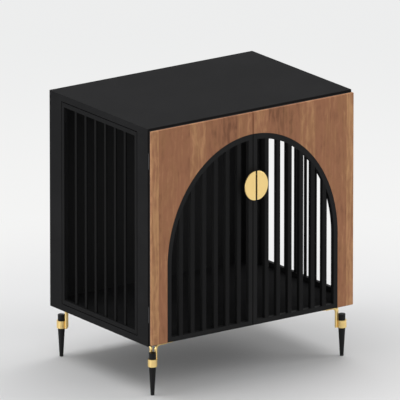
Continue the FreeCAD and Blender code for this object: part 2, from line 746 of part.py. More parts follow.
def bent_bar(row, along_x):
    """Bar that rises beside the collar and bends level under the carcass, with its pad."""
    start, way = bar_start(row, along_x)
    axis = Vector(leg_x, leg_ys[row], 0)
    level = underside - BAR_RADIUS
    bend_foot = Vector(start.x, start.y, level - BAR_BEND)
    centre = bend_foot + way * BAR_BEND
    bend_head = centre + Vector(0, 0, BAR_BEND)
    bend_middle = centre + (Vector(0, 0, 1) - way) * (BAR_BEND * math.sqrt(0.5))
    end = start + way * (BAR_REACH - (start - axis).dot(way))
    end.z = level
    path = Part.Wire([Part.LineSegment(start, bend_foot).toShape(),
                      Part.Arc(bend_foot, bend_middle, bend_head).toShape(),
                      Part.LineSegment(bend_head, end).toShape()])
    section = Part.Wire(Part.Circle(start, Vector(0, 0, 1), BAR_RADIUS).toShape())
    bar = path.makePipeShell([section], True, True)
    across = Vector(way.y, way.x, 0)
    middle_point = pad_centre(row, along_x)
    half = way * (PAD_LENGTH / 2) + across * (PAD_WIDTH / 2)
    pad = block(middle_point.x - abs(half.x), middle_point.x + abs(half.x),
                middle_point.y - abs(half.y), middle_point.y + abs(half.y),
                underside - PAD_THICKNESS, underside)
    return bar.fuse(pad)


def bracket(row):
    """Right-hand brass bracket: collar, two bent bars and their pads in one piece."""
    y = leg_ys[row]
    collar = rod(collar_radius, Vector(leg_x, y, collar_foot), Vector(leg_x, y, collar_head))
    solid = collar.fuse([bent_bar(row, True), bent_bar(row, False)])
    bore = rod(LEG_RADIUS + COLLAR_FIT, Vector(leg_x, y, collar_foot - PAST), Vector(leg_x, y, underside))
    solid = solid.cut(bore)
    for seat in pad_screw_seats(row):
        solid = solid.cut(screw_hole(PAD_SCREW, seat, Vector(0, 0, 1)))
    return one_solid(solid)


# Carcass
save("top_board", [top_board()])
save("bottom_board", [bottom_board()])
save("back_panel", [back_panel()])
save_hands("grille_frame", [grille_frame()])
save_hands("side_slats", side_slats())
for row in ("front", "rear"):
    save_hands(row + "_post", [post(row)])

# Doors
save_hands("door_facing", [facing()])
save_hands("door_backing", [backing()])
save_hands("arch_band", [arch_band()])
save_hands("centre_stile", [centre_stile()])
save_hands("bottom_rail", [bottom_rail()])
save_hands("door_slats", door_slats())
save_hands("pull", [pull()])
save_hands("door_hinge_leaves", door_leaves())
save_hands("strike_plate", [strike_plate()])
save_hands("door_leaf_screws",
           [screw(DOOR_LEAF_SCREW, seat, Vector(0, -1, 0), True) for seat in door_leaf_screw_seats()])
save_hands("pull_screws", [screw(PULL_SCREW, seat, Vector(0, -1, 0)) for seat in pull_screw_seats()])

# Hinges and catch on the carcass
save("frame_hinge_leaves", both_hands(frame_leaves()))
save("hinge_pins", both_hands(hinge_pins()))
save("frame_leaf_screws",
     both_hands([screw(FRAME_LEAF_SCREW, seat, Vector(0, 1, 0), True) for seat in leaf_screw_seats()]))
save("catch_body", [catch_body()])
save("catch_magnets", both_hands([magnet()]))
save("catch_screws", [screw(CATCH_SCREW, seat, Vector(0, 0, 1)) for seat in catch_screw_seats()])

# Fittings of the carcass
fittings = [post_fittings(row) for row in ("front", "rear")]
for name, kind in (("dowels", 0), ("cam_bolts", 1), ("cam_discs", 2)):
    save(name, both_hands([solid for group in fittings for solid in group[kind]]))
save("back_panel_screws",
     [screw(BACK_SCREW, seat, Vector(0, -1, 0), True) for seat in back_screw_seats()])
save("grille_screws", both_hands([screw(GRILLE_SCREW, seat, way) for seat, way in grille_screw_seats()]))

# Legs
for row in ("front", "rear"):
    save_hands(row + "_leg", [leg(row)])
    save_hands(row + "_bracket", [bracket(row)])
save("foot_glides", both_hands([glide(row) for row in ("front", "rear")]))
save("bracket_screws",
     both_hands([screw(PAD_SCREW, seat, Vector(0, 0, 1)) for row in ("front", "rear")
                 for seat in pad_screw_seats(row)]))
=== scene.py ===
import math

import bpy
import numpy as np
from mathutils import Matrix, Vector


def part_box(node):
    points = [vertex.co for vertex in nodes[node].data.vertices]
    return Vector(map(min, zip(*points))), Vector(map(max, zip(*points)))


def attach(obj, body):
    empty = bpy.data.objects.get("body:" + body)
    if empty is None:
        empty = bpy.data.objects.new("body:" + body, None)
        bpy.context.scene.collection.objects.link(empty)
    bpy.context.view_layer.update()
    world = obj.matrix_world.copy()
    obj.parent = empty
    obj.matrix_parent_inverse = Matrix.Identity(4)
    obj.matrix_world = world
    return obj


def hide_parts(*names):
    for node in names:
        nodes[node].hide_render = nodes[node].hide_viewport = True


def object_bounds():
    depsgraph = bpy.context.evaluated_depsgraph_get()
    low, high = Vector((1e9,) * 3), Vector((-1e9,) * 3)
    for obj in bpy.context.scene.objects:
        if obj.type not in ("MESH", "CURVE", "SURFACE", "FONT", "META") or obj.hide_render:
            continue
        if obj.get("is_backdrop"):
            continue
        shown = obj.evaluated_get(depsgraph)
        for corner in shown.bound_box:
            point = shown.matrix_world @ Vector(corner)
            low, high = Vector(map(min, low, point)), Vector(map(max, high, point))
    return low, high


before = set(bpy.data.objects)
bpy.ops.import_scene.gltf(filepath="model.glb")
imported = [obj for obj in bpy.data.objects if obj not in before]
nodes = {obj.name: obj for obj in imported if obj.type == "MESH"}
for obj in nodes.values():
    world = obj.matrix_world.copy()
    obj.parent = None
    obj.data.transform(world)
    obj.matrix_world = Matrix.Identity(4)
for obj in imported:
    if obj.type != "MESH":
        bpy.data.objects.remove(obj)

# Dog crate end table: a black lacquered cabinet with slatted sides, two arched walnut doors with half-moon
# pulls, and four short legs in brass brackets. Metres, +Z up, and the doors face -Y.

cad_low, cad_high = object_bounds()


# ---------------------------------------------------------------------------------------------------------
# View. A very long lens keeps parallel edges parallel: the cabinet is seen from its front left corner and
# from a little above.

VIEW_AZIMUTH = math.radians(-35.07)
VIEW_ELEVATION = math.radians(16.55)
VIEW_WIDTH = 0.9676
VIEW_CENTRE = Vector((-0.0110, 0.0, 0.3989))
LENS = 1200.0
SENSOR = 36.0
NEAREST_SEEN = 1.0
FURTHEST_SEEN = 200.0

towards_camera = Vector((math.sin(VIEW_AZIMUTH) * math.cos(VIEW_ELEVATION),
                         -math.cos(VIEW_AZIMUTH) * math.cos(VIEW_ELEVATION), math.sin(VIEW_ELEVATION)))
lens_data = bpy.data.cameras.new("camera")
lens_data.lens = LENS
lens_data.sensor_width = SENSOR
lens_data.clip_start = NEAREST_SEEN
lens_data.clip_end = FURTHEST_SEEN
camera = bpy.data.objects.new("camera", lens_data)
camera.location = VIEW_CENTRE + towards_camera * (VIEW_WIDTH * LENS / SENSOR)
camera.rotation_mode = "QUATERNION"
camera.rotation_quaternion = (-towards_camera).to_track_quat("-Z", "Y")
bpy.context.collection.objects.link(camera)
bpy.context.scene.camera = camera
bpy.context.scene.view_settings.view_transform = "Standard"


# ---------------------------------------------------------------------------------------------------------
# Floor and light. A pale floor fades into a pale background. One wide soft lamp hangs overhead, a
# weaker one stands at the front right and one at the left, and an even light comes from all round.

FLOOR_COLOUR = (0.83, 0.83, 0.835)
HORIZON = (0.905, 0.905, 0.900)
SKY = (0.845, 0.850, 0.850)
FLOOR_RADIUS = 60.0
FLOOR_RINGS = 24
FLOOR_SPOKES = 64
FLOOR_FADE = (0.55, 1.25)     # distance from the middle at which the floor turns into background
SKY_FADE = (1.2, 3.0)         # and at which the horizon's tone turns into the sky's
AMBIENT = 0.53
OVERHEAD_LAMP = (Vector((0.0, 0.55, 3.3)), 4.2, 1.6, 66.0)     # place, width, height, watts
RIGHT_LAMP = (Vector((3.3, -1.9, 1.9)), 2.0, 2.0, 44.0)
LEFT_LAMP = (Vector((-3.0, -0.3, 0.45)), 0.9, 0.9, 20.0)


class Graph:
    """Adds nodes to one node tree. A value is either a constant for a socket or another node's socket."""

    def __init__(self, tree):
        self.tree = tree

    def node(self, kind, values=(), **settings):
        """A shader node with its settings, its sockets fed from (name or number, value) pairs."""
        made = self.tree.nodes.new(kind if kind.startswith("Node") else "ShaderNode" + kind)
        for name, value in settings.items():
            setattr(made, name, value)
        for name, value in values:
            self.feed(made.inputs[name], value)
        return made

    def feed(self, socket, value):
        """Joins a socket to another one, or sets its constant."""
        if isinstance(value, bpy.types.NodeSocket):
            self.tree.links.new(value, socket)
        elif socket.type == "RGBA" and len(value) == 3:
            socket.default_value = (*value, 1.0)
        else:
            socket.default_value = value

    def maths(self, operation, *values):
        """One sum of numbers."""
        return self.node("Math", enumerate(values), operation=operation).outputs[0]

    def vector(self, operation, *values):
        """One sum of vectors."""
        return self.node("VectorMath", enumerate(values), operation=operation).outputs[0]

    def place(self):
        """Where the surface is, in the object's own metres."""
        return self.node("TexCoord").outputs["Object"]

    def split(self, vector):
        """The X, Y and Z of a vector."""
        return self.node("SeparateXYZ", ((0, vector),)).outputs

    def stretched(self, place, scale):
        """A place scaled along each axis, so that noise read there is long and thin."""
        return self.vector("MULTIPLY", place, scale)

    def noise(self, place, scale=1.0, detail=3.0, roughness=0.5, distortion=0.0):
        """Fractal noise from 0 to 1."""
        pairs = (("Vector", place), ("Scale", scale), ("Detail", detail), ("Roughness", roughness),
                 ("Distortion", distortion))
        return self.node("TexNoise", pairs).outputs[0]

    def spread(self, value, low, high, to_low=0.0, to_high=1.0):
        """Smooth step of a value from one range to another."""
        pairs = (("Value", value), ("From Min", low), ("From Max", high), ("To Min", to_low),
                 ("To Max", to_high))
        return self.node("MapRange", pairs, interpolation_type="SMOOTHSTEP").outputs[0]

    def blend(self, share, first, second):
        """Colour that goes from first to second with share. A Mix node has its colours on sockets 6 and 7."""
        return self.node("Mix", ((0, share), (6, first), (7, second)), data_type="RGBA").outputs[2]

    def bump(self, height, distance):
        """Normal that follows a height from 0 to 1 over a distance in metres."""
        return self.node("Bump", (("Height", height), ("Distance", distance))).outputs[0]

    def finish(self, shader):
        """Gives the shader to the surface."""
        self.node("OutputMaterial", (("Surface", shader.outputs[0]),))


def new_material(name):
    """An empty material and its graph."""
    material = bpy.data.materials.new(name)
    material.use_nodes = True
    material.node_tree.nodes.clear()
    return material, Graph(material.node_tree)


def seen_directly(graph):
    """1 for camera rays and for what mirrors or glass show, 0 for light that falls on the object."""
    path = graph.node("LightPath").outputs
    seen = graph.maths("MAXIMUM", path["Is Camera Ray"], path["Is Glossy Ray"])
    return graph.maths("MAXIMUM", seen, path["Is Transmission Ray"])


def ring_quads(rings, spokes):
    """Corner numbers of the faces from each ring to the next one, where points are numbered ring by ring."""
    ring, spoke = np.meshgrid(np.arange(rings - 1), np.arange(spokes), indexing="ij")
    after = (spoke + 1) % spokes
    return np.stack([ring * spokes + spoke, (ring + 1) * spokes + spoke, (ring + 1) * spokes + after,
                     ring * spokes + after], -1).reshape(-1, 4)


def ring_fan(middle, first, spokes):
    """Corner numbers of the triangles from a middle point to the ring that starts with the first number."""
    spoke = np.arange(spokes)
    return np.stack([np.full(spokes, middle), first + spoke, first + (spoke + 1) % spokes], -1)


def disc(name, radius, rings, spokes):
    """Disc on the floor. Radius grows with the square of the ring number, angle with the spoke number."""
    reach, turn = np.meshgrid(np.linspace(0, 1, rings + 1)[1:] ** 2 * radius,
                              np.arange(spokes) * math.tau / spokes, indexing="ij")
    points = np.stack([reach * np.cos(turn), reach * np.sin(turn), np.zeros_like(turn)], -1).reshape(-1, 3)
    points = np.vstack([points, [[0, 0, 0]]])
    faces = ring_quads(rings, spokes).tolist() + ring_fan(rings * spokes, 0, spokes).tolist()
    mesh = bpy.data.meshes.new(name)
    mesh.from_pydata(points.tolist(), [], faces)
    made = bpy.data.objects.new(name, mesh)
    bpy.context.collection.objects.link(made)
    return made


floor = disc("floor", FLOOR_RADIUS, FLOOR_RINGS, FLOOR_SPOKES)
floor_material, graph = new_material("floor")
distance = graph.node("VectorMath", ((0, graph.place()),), operation="LENGTH").outputs["Value"]
far = graph.maths("MULTIPLY", graph.spread(distance, *FLOOR_FADE), seen_directly(graph))
backdrop = graph.blend(graph.spread(distance, *SKY_FADE), HORIZON, SKY)
matt = graph.node("BsdfDiffuse", (("Color", FLOOR_COLOUR),)).outputs[0]
glow = graph.node("Emission", (("Color", backdrop), ("Strength", 1.0))).outputs[0]
graph.finish(graph.node("MixShader", ((0, far), (1, matt), (2, glow))))
floor.data.materials.append(floor_material)
floor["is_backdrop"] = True

world = bpy.data.worlds.new("studio")
world.use_nodes = True
world.node_tree.nodes.clear()
graph = Graph(world.node_tree)
strength = graph.spread(seen_directly(graph), 0.0, 1.0, AMBIENT, 1.0)
sky = graph.node("Background", (("Color", SKY), ("Strength", strength))).outputs[0]
graph.node("OutputWorld", (("Surface", sky),))
bpy.context.scene.world = world


def lamp(name, place, width, height, power):
    """Area lamp aimed at the middle of the cabinet."""
    data = bpy.data.lights.new(name, "AREA")
    data.shape = "RECTANGLE"
    data.size = width
    data.size_y = height
    data.energy = power
    made = bpy.data.objects.new(name, data)
    made.location = place
    aim = Vector((0, 0, (cad_low.z + cad_high.z) / 2)) - place
    made.rotation_euler = aim.to_track_quat("-Z", "Y").to_euler()
    bpy.context.collection.objects.link(made)


lamp("overhead_lamp", *OVERHEAD_LAMP)
lamp("right_lamp", *RIGHT_LAMP)
lamp("left_lamp", *LEFT_LAMP)


# ---------------------------------------------------------------------------------------------------------
# Boards and posts. Top, floor and four corner posts of 16.5 mm board, their outer edges slightly rounded,
# sprayed with matt black lacquer on all sides.

LACQUER = (0.0205, 0.0205, 0.0212)
LACQUER_RUBBED = (0.032, 0.031, 0.030)
RUBBED_WIDTH = 0.0014
PEEL_SCALE = 900.0           # bumps of the paint to a metre
PEEL_DEPTH = 0.00004
DULL_PATCHES = 9.0           # to a metre, as the other scales of these effects
DULL_SPECKS = 420.0
HAIRLINE_TURNS = (0.35, 1.30, 2.45)
HAIRLINE_STRETCH = (1300.0, 9.0, 700.0)
WIPED_PATCHES = 5.0
CHIPS = 160.0


def effect(name, inputs, outputs):
    """Empty node group with named sockets, and its graph."""
    tree = bpy.data.node_groups.new(name, "ShaderNodeTree")
    for direction, sockets in (("INPUT", inputs), ("OUTPUT", outputs)):
        for socket_name, kind in sockets:
            tree.interface.new_socket(socket_name, in_out=direction, socket_type="NodeSocket" + kind)
    graph = Graph(tree)
    return tree, graph, graph.node("NodeGroupInput").outputs, graph.node("NodeGroupOutput").inputs


def use(graph, tree, **values):
    """Outputs of a node group placed in a material, its sockets named in lower case."""
    made = graph.node("Group", node_tree=tree)
    for name, value in values.items():
        graph.feed(made.inputs[name.replace("_", " ").capitalize()], value)
    return made.outputs


# Paint film: the fine orange peel of sprayed paint, and broad dull patches where hands and cloths have been.
paint_film, graph, given, result = effect("paint_film", [("Place", "Vector"), ("Peel scale", "Float")],
                                          [("Peel", "Float"), ("Dull", "Float")])
graph.feed(result["Peel"], graph.noise(given["Place"], given["Peel scale"], 2.0, 0.6))
patches = graph.noise(given["Place"], DULL_PATCHES, 4.0, 0.65, 0.6)
specks = graph.noise(given["Place"], DULL_SPECKS, 2.0, 0.5)
patches = graph.spread(patches, 0.35, 0.7, 0.0, 0.65)
graph.feed(result["Dull"], graph.maths("MULTIPLY_ADD", specks, 0.35, patches))

# Hairlines: fine straight scratches from wiping, thickest where a slow noise is high.
hairlines, graph, given, result = effect("hairlines", [("Place", "Vector"), ("Amount", "Float")],
                                         [("Mask", "Float")])
lines = 0.0
for turn in HAIRLINE_TURNS:
    turned = graph.node("VectorRotate", (("Vector", given["Place"]), ("Angle", turn))).outputs[0]
    line = graph.noise(graph.stretched(turned, HAIRLINE_STRETCH), 1.0, 2.0, 0.6)
    lines = graph.maths("MAXIMUM", lines, graph.spread(line, 0.66, 0.74))
wiped = graph.spread(graph.noise(given["Place"], WIPED_PATCHES, 2.0), 0.35, 0.65)
graph.feed(result["Mask"], graph.maths("MULTIPLY", graph.maths("MULTIPLY", lines, wiped), given["Amount"]))

# Edge wear: 1 along the edges of a box-shaped piece, broken up, and 0 away from them. How far a place is from
# the nearest edge is the middle one of its three distances from the box's sides.
edge_wear, graph, given, result = effect(
    "edge_wear", [("Place", "Vector"), ("Centre", "Vector"), ("Half size", "Vector"), ("Width", "Float")],
    [("Mask", "Float")])
inset = graph.vector("SUBTRACT", given["Half size"],
                     graph.vector("ABSOLUTE", graph.vector("SUBTRACT", given["Place"], given["Centre"])))
x, y, z = graph.split(inset)
least = graph.maths("MINIMUM", graph.maths("MINIMUM", x, y), z)
most = graph.maths("MAXIMUM", graph.maths("MAXIMUM", x, y), z)
total = graph.maths("ADD", graph.maths("ADD", x, y), z)
to_edge = graph.maths("SUBTRACT", graph.maths("SUBTRACT", total, least), most)
near = graph.maths("SUBTRACT", 1.0, graph.spread(to_edge, 0.0, given["Width"]))
chips = graph.spread(graph.noise(given["Place"], CHIPS, 4.0, 0.7), 0.46, 0.72)
graph.feed(result["Mask"], graph.maths("MULTIPLY", near, chips))


def lighter(colour, share):
    """The colour made lighter, or darker, by a share."""
    return tuple(part * share for part in colour)


def painted(name, colour, roughness, specular, peel_scale=PEEL_SCALE, peel_depth=PEEL_DEPTH, box_of=None):
    """Sprayed paint. With box_of, the edges of that node's box are a little rubbed."""
    material, graph = new_material(name)
    place = graph.place()
    film = use(graph, paint_film, place=place, peel_scale=peel_scale)
    scratches = use(graph, hairlines, place=place, amount=0.5)["Mask"]
    shade = graph.blend(film["Dull"], lighter(colour, 0.92), lighter(colour, 1.18))
    shade = graph.blend(scratches, shade, lighter(colour, 1.5))
    if box_of:
        low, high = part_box(box_of)
        mask = use(graph, edge_wear, place=place, centre=(low + high) / 2, half_size=(high - low) / 2,
                   width=RUBBED_WIDTH)["Mask"]
        shade = graph.blend(mask, shade, LACQUER_RUBBED)
    rough = graph.maths("MULTIPLY_ADD", film["Dull"], 0.12, roughness)
    rough = graph.maths("MULTIPLY_ADD", scratches, 0.15, rough)
    graph.finish(graph.node("BsdfPrincipled", (
        ("Base Color", shade), ("Roughness", rough), ("Specular IOR Level", specular),
        ("Normal", graph.bump(film["Peel"], peel_depth)))))
    return material


def give(material, *names):
    """These nodes get the material in place of the plain one that they came with."""
    for name in names:
        nodes[name].data.materials.clear()
        nodes[name].data.materials.append(material)


def hands(*names):
    """The left-hand and the right-hand node of each name."""
    return [side + "_" + name for name in names for side in ("left", "right")]


for name in ["top_board", "bottom_board"] + hands("front_post", "rear_post"):
    give(painted("lacquer_" + name, LACQUER, roughness=0.55, specular=0.004, box_of=name), name)


# ---------------------------------------------------------------------------------------------------------
# Dowels and cams. Beech dowels place the posts, and zinc-plated cam bolts and slotted cam discs pull each
# post tight against its board.

ZINC = (0.62, 0.62, 0.60)
PLATE_GRAIN = 1600.0
PLATE_GRAIN_DEPTH = 0.00002
BEECH = (0.60, 0.42, 0.25)
BEECH_FLECK = (0.42, 0.26, 0.14)
BEECH_GRAIN = (900.0, 900.0, 40.0)
BEECH_FLECKS = (1800.0, 1800.0, 300.0)
BEECH_GRAIN_DEPTH = 0.0001


def plated(name, colour, roughness):
    """Plated steel: bright metal with a fine grain, handling marks and dull patches."""
    material, graph = new_material(name)
    place = graph.place()
    film = use(graph, paint_film, place=place, peel_scale=PLATE_GRAIN)
    scratches = use(graph, hairlines, place=place, amount=0.8)["Mask"]
    shade = graph.blend(film["Dull"], colour, lighter(colour, 0.82))
    rough = graph.maths("MULTIPLY_ADD", film["Dull"], 0.2, roughness)
    rough = graph.maths("MULTIPLY_ADD", scratches, 0.2, rough)
    graph.finish(graph.node("BsdfPrincipled", (
        ("Base Color", shade), ("Metallic", 1.0), ("Roughness", rough),
        ("Normal", graph.bump(film["Peel"], PLATE_GRAIN_DEPTH)))))
    return material


def beech(name):
    """Raw beech, its grain along Z, with short dark flecks."""
    material, graph = new_material(name)
    place = graph.place()
    grain = graph.noise(graph.stretched(place, BEECH_GRAIN))
    flecks = graph.spread(graph.noise(graph.stretched(place, BEECH_FLECKS)), 0.60, 0.70)
    shade = graph.blend(grain, lighter(BEECH, 0.85), lighter(BEECH, 1.1))
    shade = graph.blend(graph.maths("MULTIPLY", flecks, 0.6), shade, BEECH_FLECK)
    rough = graph.maths("MULTIPLY_ADD", grain, 0.15, 0.55)
    graph.finish(graph.node("BsdfPrincipled", (
        ("Base Color", shade), ("Roughness", rough), ("Specular IOR Level", 0.3),
        ("Normal", graph.bump(grain, BEECH_GRAIN_DEPTH)))))
    return material


zinc = plated("zinc_plate", ZINC, roughness=0.3)
give(zinc, "cam_bolts", "cam_discs")
give(beech("raw_beech"), "dowels")


# ---------------------------------------------------------------------------------------------------------
# Back panel. Thin hardboard, rolled black, let into a rebate in boards and posts, and held by ten black
# countersunk cross-head screws.

HARDBOARD = (0.0150, 0.0150, 0.0155)
BLACK_PLATE = (0.060, 0.060, 0.062)
PANEL_SCREW = {"shank": 0.0015, "head_height": 0.0016, "countersunk": True}
SPOKES = 24                  # faces round a screw
THREAD_PITCH = 0.00125
RINGS_PER_TURN = 6
THREAD_DEPTH = 0.18          # of the shank's radius
POINT_SLOPE = 0.55           # radius of the point over its length
POINT_TIP = 0.05             # of the shank's radius
HEAD_RINGS = (0.10, 0.18, 0.28, 0.38, 0.48, 0.58, 0.64, 0.70, 0.80, 0.90, 0.96)     # of the head's radius
DOME_RISE = 0.45             # of the head's height
DOME_RIM = 1.3               # depth of a dome's rim, of its rise
FLAT_RIM = 0.03              # and of a countersunk one, of the head's height
CROSS_WIDTH = 0.24           # of the head's radius, to one side of the middle
CROSS_REACH = 0.66           # of the head's radius
CROSS_DEPTH = 0.42           # of the head's radius
CROSS_FLOOR = 0.9            # of the head's height, past which no cross is cut
SHARP_ANGLE = math.radians(32.0)


def solids_of(name):
    """Low and high corner of each solid in a node. Points at one place are merged, then each face hands the
    least number of its corners to all of them, until no number changes."""
    mesh = nodes[name].data
    points = np.empty(len(mesh.vertices) * 3, np.float32)
    mesh.vertices.foreach_get("co", points)
    corners = np.empty(len(mesh.loops), np.int32)
    mesh.loops.foreach_get("vertex_index", corners)
    places, place_of = np.unique(points.reshape(-1, 3).round(6), axis=0, return_inverse=True)
    faces = place_of.ravel()[corners].reshape(-1, 3)
    before, number = None, np.arange(len(places))
    while before is None or (before != number).any():
        before = number.copy()
        np.minimum.at(number, faces, before[faces].min(1)[:, None])
    return [(places[number == least].min(0), places[number == least].max(0)) for least in np.unique(number)]


def revolved(radius, depth, head, out):
    """Points, quads and triangles of a solid of revolution, its ends closed by one point each. radius and
    depth are grids of ring by spoke: a point lies at radius along its spoke and at depth below head, against
    the way out."""
    rings, spokes = radius.shape
    aside = np.roll(out, 1)
    turn = np.arange(spokes) * math.tau / spokes
    spoke_way = np.cos(turn)[:, None] * aside + np.sin(turn)[:, None] * np.cross(out, aside)
    points = head + radius[..., None] * spoke_way - depth[..., None] * out
    ends = [head - depth[end].mean() * out for end in (0, -1)]
    points = np.vstack([points.reshape(-1, 3), ends])
    top = ring_fan(rings * spokes, 0, spokes)
    tip = ring_fan(rings * spokes + 1, (rings - 1) * spokes, spokes)[:, [0, 2, 1]]
    return points, ring_quads(rings, spokes), np.vstack([top, tip])


def screw_shape(head_radius, length, shank, head_height, countersunk):
    """Grids of radius and depth of one screw. The head is a cone or a dome with a cross sunk into it. Below
    it the radius follows a triangle wave of depth over pitch less angle, and comes to a point."""
    head_rings = np.array(HEAD_RINGS)
    rise = 0.0 if countersunk else DOME_RISE * head_height
    if countersunk:
        rim_radius, rim_depth = [head_radius, shank], [FLAT_RIM * head_height, head_height]
    else:
        rim_radius, rim_depth = [head_radius, head_radius, shank], [DOME_RIM * rise, head_height, head_height]
    turns = np.arange(head_height, length, THREAD_PITCH / RINGS_PER_TURN)[1:]
    tip = POINT_TIP * shank
    radius = np.concatenate([head_rings * head_radius, rim_radius, np.full(len(turns), shank), [tip]])
    depth = np.concatenate([head_rings ** 2 * rise, rim_depth, turns, [length]])

    radius, turn = np.meshgrid(radius, np.arange(SPOKES) / SPOKES, indexing="ij")
    depth = np.repeat(depth[:, None], SPOKES, 1)
    ring = np.arange(len(depth))[:, None]
    threaded = (ring >= len(head_rings) + len(rim_radius)) & (ring < len(depth) - 1)
    wave = np.abs((depth / THREAD_PITCH - turn) % 1.0 - 0.5) * 2
    thread = np.minimum(radius * (1 - THREAD_DEPTH * wave), (length - depth) * POINT_SLOPE + tip)
    radius = np.where(threaded, thread, radius)

    x, y = radius * np.cos(turn * math.tau), radius * np.sin(turn * math.tau)
    near_arm = np.minimum(np.abs(x), np.abs(y)) < CROSS_WIDTH * head_radius
    in_cross = near_arm & (radius < CROSS_REACH * head_radius) & (depth < CROSS_FLOOR * head_height)
    return radius, np.where(in_cross, depth + CROSS_DEPTH * head_radius * (1 - radius / head_radius), depth)


def cross_screws(name, node, out, kind, material, body):
    """One piece with a cross-head screw at each solid of a node. out is the way that their heads face, or a
    function of a solid's middle that gives it."""
    points, quads, triangles, count = [], [], [], 0
    for low, high in solids_of(node):
        middle = (low + high) / 2
        way = np.array(out(middle) if callable(out) else out, float)
        size = high - low
        length = abs(size @ way)
        head_radius = (size * (way == 0)).max() / 2
        radius, depth = screw_shape(head_radius, length, **kind)
        made = revolved(radius, depth, middle + way * length / 2, way)
        points.append(made[0])
        quads.append(made[1] + count)
        triangles.append(made[2] + count)
        count += len(made[0])
    mesh = bpy.data.meshes.new(name)
    faces = np.vstack(quads).tolist() + np.vstack(triangles).tolist()
    mesh.from_pydata(np.vstack(points).tolist(), [], faces)
    mesh.shade_smooth()
    mesh.set_sharp_from_angle(angle=SHARP_ANGLE)
    mesh.materials.append(material)
    piece = bpy.data.objects.new(name, mesh)
    bpy.context.collection.objects.link(piece)
    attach(piece, body)
    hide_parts(node)


hardboard = painted("rolled_hardboard", HARDBOARD, roughness=0.68, specular=0.10, peel_scale=420.0,
                    peel_depth=0.00009)
give(hardboard, "back_panel")
black_plate = plated("black_plate", BLACK_PLATE, roughness=0.38)
cross_screws("panel_screws", "back_panel_screws", (0, 1, 0), PANEL_SCREW, black_plate, "carcass")


# ---------------------------------------------------------------------------------------------------------
# Side grilles. A steel frame with six flat upright slats welded in, powder-coated black, stands in each side
# with a shadow groove all round, and is screwed to the posts from its inside.

COATED_STEEL = (0.0120, 0.0120, 0.0125)
COATED_SLAT = (0.0075, 0.0075, 0.0078)
COAT = {"roughness": 0.5, "specular": 0.04, "peel_scale": 1400.0, "peel_depth": 0.00006}
BAR_EDGE = 0.0004
SAME_PLACE = 0.000001        # corners nearer than this are one
GRILLE_SCREW = {"shank": 0.0015, "head_height": 0.0015, "countersunk": False}


def eased(name, width):
    """Rounds the straight edges of a CAD node's bars, once its loose faces are joined."""
    weld = nodes[name].modifiers.new("join_faces", "WELD")
    weld.merge_threshold = SAME_PLACE
    bevel = nodes[name].modifiers.new("ease_edges", "BEVEL")
    bevel.width = width
    bevel.segments = 2
    bevel.limit_method = "ANGLE"
    bevel.harden_normals = True


coated = painted("coated_frame", COATED_STEEL, **COAT)
give(coated, *hands("grille_frame"))
give(painted("coated_slats", COATED_SLAT, **COAT), *hands("side_slats"))
for name in hands("grille_frame", "side_slats"):
    eased(name, BAR_EDGE)
low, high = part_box("left_grille_frame")
grille_middle = (low.y + high.y) / 2


def inwards(middle):
    """The way from a post to the middle of the grille, along Y."""
    return 0, 1 if middle[1] < grille_middle else -1, 0


cross_screws("grille_frame_screws", "grille_screws", inwards, GRILLE_SCREW, coated, "carcass")


# ---------------------------------------------------------------------------------------------------------
# Leg brackets. A turned collar of satin brass with two bent round bars joined to it, which run inwards under
# the board. Each bar ends in a pad that is screwed up into the bottom board.

BRASS = (0.98, 0.72, 0.30)
BRUSHING = (300.0, 300.0, 6000.0)     # per metre along each axis: fine lines round the collar
BRUSHING_DEPTH = 0.00001
BRASS_ROUGHNESS = 0.24
BRASS_PEEL = 700.0
STOUT_SCREW = {"shank": 0.002, "head_height": 0.0024, "countersunk": False}


def satin_brass(name):
    """Brass, finely brushed, a little darker where fingers have dulled it."""
    material, graph = new_material(name)
    place = graph.place()
    brushed = graph.noise(graph.stretched(place, BRUSHING), 1.0, 3.0, 0.6)
    film = use(graph, paint_film, place=place, peel_scale=BRASS_PEEL)
    scratches = use(graph, hairlines, place=place, amount=0.6)["Mask"]
    shade = graph.blend(film["Dull"], BRASS, lighter(BRASS, 0.93))
    rough = graph.maths("MULTIPLY_ADD", film["Dull"], 0.08, BRASS_ROUGHNESS)
    rough = graph.maths("MULTIPLY_ADD", brushed, 0.14, rough)
    rough = graph.maths("MULTIPLY_ADD", scratches, 0.1, rough)
    graph.finish(graph.node("BsdfPrincipled", (
        ("Base Color", shade), ("Metallic", 1.0), ("Roughness", rough),
        ("Normal", graph.bump(brushed, BRUSHING_DEPTH)))))
    return material


brass = satin_brass("satin_brass")
give(brass, *hands("front_bracket", "rear_bracket"))
cross_screws("pad_screws", "bracket_screws", (0, 0, -1), STOUT_SCREW, zinc, "carcass")


# ---------------------------------------------------------------------------------------------------------
# Legs. Turned steel, powder-coated black, straight through the collar and tapered below it, each on a
# moulded plastic glide pressed up into its foot.

LEG_COAT = (0.0095, 0.0095, 0.0098)
MOULDED = (0.016, 0.016, 0.016)

leg_coat = painted("leg_coat", LEG_COAT, roughness=0.42, specular=0.16, peel_scale=1400.0,
                   peel_depth=0.00005)
give(leg_coat, *hands("front_leg", "rear_leg"))
moulded = painted("moulded_black", MOULDED, roughness=0.6, specular=0.25, peel_scale=2200.0,
                  peel_depth=0.00003)
give(moulded, "foot_glides")


# ---------------------------------------------------------------------------------------------------------
# Door frames. An arched band as deep as the door, a stile at the seam, a rail at the foot and a thin backing
# behind the walnut, all lacquered black, with upright slats let in between rail and band.

DOOR_BLACK = (0.0140, 0.0140, 0.0144)
SLAT_BLACK = (0.0085, 0.0085, 0.0088)
RAIL_EDGE = 0.0003

